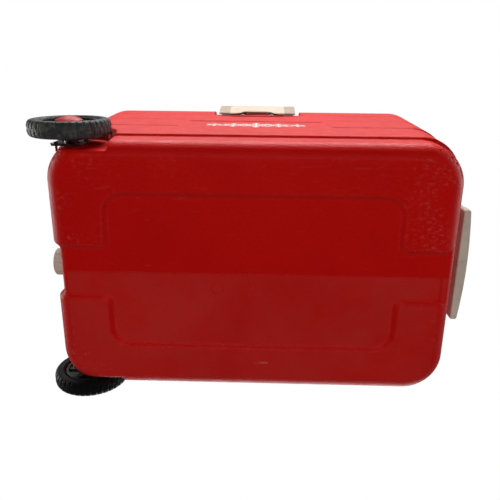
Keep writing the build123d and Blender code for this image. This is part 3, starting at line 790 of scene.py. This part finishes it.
def make_lever():
    axes = (
        mirrored(
            ticks((0, 17, 1.5), (17, 30, 0.8), (30, 48, 1.5), (48, 52, 0.5), (52, 64, 1.5), (64, 71, 0.7))
        ),
        ticks((-222, -208, 0.6), (-208, -202, 0.8)),
        ticks((273, 281, 0.6), (281, 324, 2), (324, 344, 0.9)),
    )
    lever = implicit_mesh("latch_lever_cover", lever_shape, axes)
    dress(lever, LEVER)
    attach(lever, "latch")
    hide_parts("latch_lever")


def handle_shape(x, y, z):
    """Tow handle: bowed cross grip and two arms with round pivot bosses."""
    bow = TOW_BOW * (1 - (y / TOW_HIGH[1]) ** 2)
    out = TOW_HIGH[0] - TOW_BOW
    low = TOW_LOW[2]
    mirror = np.abs(y)
    grip_low = (TOW_INNER, -1.0, low)
    grip_high = (out, TOW_HIGH[1], low + TOW_GRIP)
    grip = box_field(x - bow * (x > TOW_X), mirror, z, grip_low, grip_high, 3.0)
    arm_low = (TOW_INNER + 1, TOW_ARM[0], low + TOW_ARM_RISE)
    arm_high = (out + 1, TOW_ARM[1], TOW_Z)
    arm = box_field(x, mirror, z, arm_low, arm_high, 2.0)
    boss = round_max(
        np.hypot(x - TOW_X, z - TOW_Z) - TOW_BOSS,
        np.abs(mirror - sum(TOW_ARM) / 2) - TOW_BOSS_HALF,
        1.0,
    )
    shape = soft_min(soft_min(grip, arm, 3.0), boss, 2.0)
    return np.maximum(shape, TOW_PIN - np.hypot(x - TOW_X, z - TOW_Z))


def make_handle():
    axes = (
        ticks((316, 337, 0.8)),
        mirrored(ticks((0, 70, 2.5), (70, 93, 0.8))),
        ticks((53, 84, 1), (84, 205, 4), (205, 225, 0.8)),
    )
    handle = implicit_mesh("tow_handle_cover", handle_shape, axes)
    dress(handle, FINISHES["handle_cream"])
    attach(handle, "tow_handle")
    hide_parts("tow_handle")


# -------------------------------------------------------------------- tyres

TYRE_INNER = 42.0
TREAD_BLOCKS = 38
STEPS_PER_BLOCK = 10
SECTION_POINTS = 44
SECTION_POWER = 0.72
TREAD_FROM = 0.25
TREAD_DEPTH = 1.3
TREAD_SHARPNESS = 2.2
SLOT_HALF = 0.10
SLOT_EASE = 0.08
CENTRE_FADE = 2.2
RIB_HALF = 1.3
RIB_EASE = 0.8
RIB_SHARE = 0.6
BEAD_RADIUS = 47.0
BEAD_WIDTH = 1.4
BEAD_PROUD = 0.6


def tyre_point(step, section, middle, half_width):
    """One point of the tyre's skin, from its step round the wheel and round the section."""
    phase = (step % STEPS_PER_BLOCK) / STEPS_PER_BLOCK
    angle = 2 * math.pi * section / SECTION_POINTS
    x = math.cos(angle)
    y = math.sin(angle)
    width = half_width * math.copysign(abs(y) ** SECTION_POWER, y)
    depth = (WHEEL_RADIUS - TYRE_INNER) / 2
    radial = TYRE_INNER + depth + depth * math.copysign(abs(x) ** SECTION_POWER, x)
    tread = max(0.0, x - TREAD_FROM) / (1 - TREAD_FROM)
    shift = phase if width > 0 else (phase + 0.5) % 1.0
    slot = 0.5 - abs(shift - 0.5)
    centre = min(1.0, abs(width) / CENTRE_FADE)
    cut = 1.0 - min(1.0, max(0.0, (slot - SLOT_HALF) / SLOT_EASE))
    rib = 1.0 - min(1.0, max(0.0, (abs(width) - RIB_HALF) / RIB_EASE))
    share = cut * centre * (1 - rib) + RIB_SHARE * rib
    reach = radial - TREAD_DEPTH * min(1.0, tread * TREAD_SHARPNESS) * share
    bead = BEAD_PROUD * math.exp(-(((radial - BEAD_RADIUS) / BEAD_WIDTH) ** 2)) * (1 if x < 0.4 else 0)
    turn = 2 * math.pi * step / (TREAD_BLOCKS * STEPS_PER_BLOCK)
    return (
        WHEEL_X + reach * math.cos(turn),
        middle + width + math.copysign(bead, width) * 0.5,
        WHEEL_Z + reach * math.sin(turn),
    )


def make_tyre(name, side):
    """Blow-moulded tyre with blocks round its tread and a bead on each wall."""
    low, high = box_mm("tyre_" + name)
    middle = (low[1] + high[1]) / 2
    half_width = (high[1] - low[1]) / 2
    across = SECTION_POINTS
    around = TREAD_BLOCKS * STEPS_PER_BLOCK
    points = []
    for i in range(around):
        for j in range(across):
            points.append(tyre_point(i, j, middle, half_width))
    faces = []
    for i in range(around):
        for j in range(across):
            a = i * across + j
            b = i * across + (j + 1) % across
            c = ((i + 1) % around) * across + (j + 1) % across
            d = ((i + 1) % around) * across + j
            faces.append((a, b, c, d))
    piece = mesh_piece("treaded_tyre_" + name, points, faces)
    fix_normals(piece)
    dress(piece, FINISHES["tyre" if side < 0 else "tyre_back"])
    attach(piece, "wheel_" + name)
    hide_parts("tyre_" + name)


def fix_normals(piece):
    form = bmesh.new()
    form.from_mesh(piece.data)
    bmesh.ops.recalc_face_normals(form, faces=form.faces)
    form.to_mesh(piece.data)
    form.free()


# ------------------------------------------------------------ moulding marks

RING_POINTS = 24
RING_PLACE = (-53.0, 24.0)
RING_RADIUS = 9.0
RING_LINE = 1.0
TRIANGLE_PLACE = (4.0, 26.0)
TRIANGLE_RADIUS = 12.0
TRIANGLE_LINE = 1.4
MARK_PROUD = 0.5


def corners_round(place, radius, count):
    """Corners of a regular outline, the first one towards the front."""
    turns = [k / count * math.tau for k in range(count)]
    return [(place[0] + radius * math.sin(t), place[1] - radius * math.cos(t)) for t in turns]


def flat_strip(points, faces, outline, half, z, proud):
    """Closed raised strip along an outline on the recess floor."""
    count = len(outline)
    start = len(points)
    middle = Vector((sum(p[0] for p in outline) / count, sum(p[1] for p in outline) / count))
    for x, y in outline:
        away = (Vector((x, y)) - middle).normalized() * half
        for scale, height in ((-1, z + proud), (-0.5, z - proud), (0.5, z - proud), (1, z + proud)):
            points.append((x + scale * away.x, y + scale * away.y, height))
    for k in range(count):
        a = start + 4 * k
        b = start + 4 * ((k + 1) % count)
        for j in range(3):
            faces.append((a + j, b + j, b + j + 1, a + j + 1))


def make_mould_marks():
    """A ring and a plain triangle, as raised by the mould on the underside."""
    points = []
    faces = []
    ring = corners_round(RING_PLACE, RING_RADIUS, RING_POINTS)
    flat_strip(points, faces, ring, RING_LINE, RECESS_DEPTH, MARK_PROUD)
    triangle = corners_round(TRIANGLE_PLACE, TRIANGLE_RADIUS, 3)
    flat_strip(points, faces, triangle, TRIANGLE_LINE, RECESS_DEPTH, MARK_PROUD)
    piece = mesh_piece("mould_marks", points, faces, smooth=False)
    fix_normals(piece)
    dress(piece, RED_MARK)
    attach(piece, "chest")


# ------------------------------------------------------------ front motif

MOTIF_Z = 159.0
MOTIF_FLAKES = ((-68, 15), (-37, 20), (0, 25), (37, 20), (68, 15))
MOTIF_PROUD = 0.25
MOTIF_SUNK = 0.5
BRANCHES = ((0.45, 0.30), (0.72, 0.22))
BRANCH_ANGLE = math.radians(55)
ARM_WIDTH = 0.055
BRANCH_WIDTH = 0.045


def flake(middle_x, middle_z, size):
    """Bars of one six-armed ice crystal, each as start, end and half width."""
    bars = []
    for arm in range(6):
        turn = math.radians(30 + 60 * arm)
        tip = (middle_x + size * math.cos(turn), middle_z + size * math.sin(turn))
        bars.append(((middle_x, middle_z), tip, size * ARM_WIDTH))
        for reach, length in BRANCHES:
            root = (
                middle_x + reach * size * math.cos(turn),
                middle_z + reach * size * math.sin(turn),
            )
            for lean in (-1, 1):
                side = turn + lean * BRANCH_ANGLE
                end = (
                    root[0] + length * size * math.cos(side),
                    root[1] + length * size * math.sin(side),
                )
                bars.append((root, end, size * BRANCH_WIDTH))
    return bars


def make_motif():
    """Generic printed ice crystals on the front panel."""
    bars = []
    for x, size in MOTIF_FLAKES:
        bars += flake(x, MOTIF_Z, size)
    points = []
    faces = []
    for (x0, z0), (x1, z1), half in bars:
        length = math.hypot(x1 - x0, z1 - z0)
        nx, nz = -(z1 - z0) / length * half, (x1 - x0) / length * half
        corners = [(x0 + nx, z0 + nz), (x1 + nx, z1 + nz), (x1 - nx, z1 - nz), (x0 - nx, z0 - nz)]
        start = len(points)
        for depth in (MOTIF_PROUD, -MOTIF_SUNK):
            for x, z in corners:
                wall = HALF_WIDTH + SIDE_LEAN * z + STEP_OUT
                points.append((x, -(wall + depth), z))
        a = start
        faces.append((a, a + 1, a + 2, a + 3))
        faces.append((a + 7, a + 6, a + 5, a + 4))
        for k in range(4):
            n = (k + 1) % 4
            faces.append((a + k, a + 4 + k, a + 4 + n, a + n))
    piece = mesh_piece("front_frost_motif", points, faces, smooth=False)
    fix_normals(piece)
    dress(piece, PRINT)
    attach(piece, "chest")


# ------------------------------------------------------------- camera, light, floor

PHOTO_YAW = -0.0240
PHOTO_PITCH = 0.3254
PHOTO_ROLL = -0.0104
PHOTO_PLACE = Vector((0.01434, -0.29718, -0.76102))
PHOTO_LENS = 39.6


def make_camera():
    """Camera below the chest, looking up at its underside with the front at the top."""
    data = bpy.data.cameras.new("camera")
    data.lens = PHOTO_LENS
    data.sensor_width = 36.0
    camera = bpy.data.objects.new("camera", data)
    bpy.context.scene.collection.objects.link(camera)
    upward = Matrix.Rotation(math.pi, 3, "X")
    turn = Matrix.Rotation(PHOTO_YAW, 3, "Y") @ upward
    right = turn.col[0].copy()
    turn = Matrix.Rotation(-PHOTO_PITCH, 3, right) @ turn
    ahead = -turn.col[2]
    turn = Matrix.Rotation(PHOTO_ROLL, 3, ahead) @ turn
    camera.matrix_world = Matrix.Translation(PHOTO_PLACE) @ turn.to_4x4()
    bpy.context.scene.camera = camera


def area_light(name, place, aim, size, power, shiny=True):
    data = bpy.data.lights.new(name, "AREA")
    data.shape = "RECTANGLE"
    data.size = size[0]
    data.size_y = size[1]
    data.energy = power
    lamp = bpy.data.objects.new(name, data)
    lamp.location = place
    lamp.rotation_mode = "QUATERNION"
    lamp.rotation_quaternion = (Vector(aim) - Vector(place)).to_track_quat("-Z", "Y")
    lamp.visible_glossy = shiny
    bpy.context.scene.collection.objects.link(lamp)


def make_lights():
    middle = (0.0, 0.0, 0.17)
    area_light("key_front", (0.0, -2.0, 1.7), middle, (2.4, 0.9), 82, shiny=False)
    area_light("key_gloss", (0.0, -2.0, 1.75), middle, (2.4, 0.9), 36)
    area_light("soft_top", (0.0, 0.3, 2.4), middle, (2.6, 2.2), 25, shiny=False)
    area_light("fill_back", (0.3, 2.4, 1.0), middle, (2.2, 1.6), 34)
    area_light("fill_left", (-2.4, 0.0, 0.8), middle, (1.6, 1.2), 22)
    area_light("fill_right", (2.4, -0.3, 0.8), middle, (1.6, 1.2), 16)
    area_light("fill_below", (0.0, -0.7, -2.6), middle, (2.4, 2.4), 42, shiny=False)


def make_world():
    world = bpy.data.worlds.new("studio")
    bpy.context.scene.world = world
    world.use_nodes = True
    tree = world.node_tree
    tree.nodes.clear()
    path = tree.nodes.new("ShaderNodeLightPath")
    seen = tree.nodes.new("ShaderNodeBackground")
    seen.inputs["Color"].default_value = (1.0, 1.0, 1.0, 1.0)
    light = tree.nodes.new("ShaderNodeBackground")
    light.inputs["Color"].default_value = (1.0, 1.0, 1.0, 1.0)
    sky = tree.nodes.new("ShaderNodeTexCoord")
    slope = tree.nodes.new("ShaderNodeVectorMath")
    slope.operation = "DOT_PRODUCT"
    slope.inputs[1].default_value = (0.0, 0.45, 0.9)
    rise = tree.nodes.new("ShaderNodeMapRange")
    rise.inputs["From Min"].default_value = -0.75
    rise.inputs["From Max"].default_value = 0.9
    rise.inputs["To Min"].default_value = 0.0
    rise.inputs["To Max"].default_value = 0.26
    tree.links.new(sky.outputs["Generated"], slope.inputs[0])
    tree.links.new(slope.outputs["Value"], rise.inputs["Value"])
    tree.links.new(rise.outputs[0], light.inputs["Strength"])
    mix = tree.nodes.new("ShaderNodeMixShader")
    out = tree.nodes.new("ShaderNodeOutputWorld")
    tree.links.new(path.outputs["Is Camera Ray"], mix.inputs["Fac"])
    tree.links.new(light.outputs[0], mix.inputs[1])
    tree.links.new(seen.outputs[0], mix.inputs[2])
    tree.links.new(mix.outputs[0], out.inputs["Surface"])


def make_floor():
    """Pale floor, seen from above and clear from below."""
    half = 4000.0
    corners = [(-half, -half, -0.3), (half, -half, -0.3), (half, half, -0.3), (-half, half, -0.3)]
    floor = mesh_piece("floor", corners, [(0, 1, 2, 3)], smooth=False)
    material = bpy.data.materials.new("pale_floor")
    material.use_nodes = True
    tree = material.node_tree
    shader = tree.nodes["Principled BSDF"]
    shader.inputs["Base Color"].default_value = (0.93, 0.93, 0.93, 1.0)
    shader.inputs["Roughness"].default_value = 0.9
    clear = tree.nodes.new("ShaderNodeBsdfTransparent")
    side = tree.nodes.new("ShaderNodeNewGeometry")
    mix = tree.nodes.new("ShaderNodeMixShader")
    tree.links.new(side.outputs["Backfacing"], mix.inputs["Fac"])
    tree.links.new(shader.outputs[0], mix.inputs[1])
    tree.links.new(clear.outputs[0], mix.inputs[2])
    tree.links.new(mix.outputs[0], tree.nodes["Material Output"].inputs["Surface"])
    floor.data.materials.append(material)
    floor.visible_shadow = False
    floor.visible_diffuse = False
    floor.visible_glossy = False
    floor.visible_transmission = False


dress_frame()
make_camera()
make_world()
make_lights()
make_floor()
make_body()
make_lid()
make_lever()
make_handle()
for wheel_name, wheel_side in (("front", FRONT), ("back", BACK)):
    make_tyre(wheel_name, wheel_side)
make_motif()
make_mould_marks()
bpy.context.scene.view_settings.view_transform = "Standard"
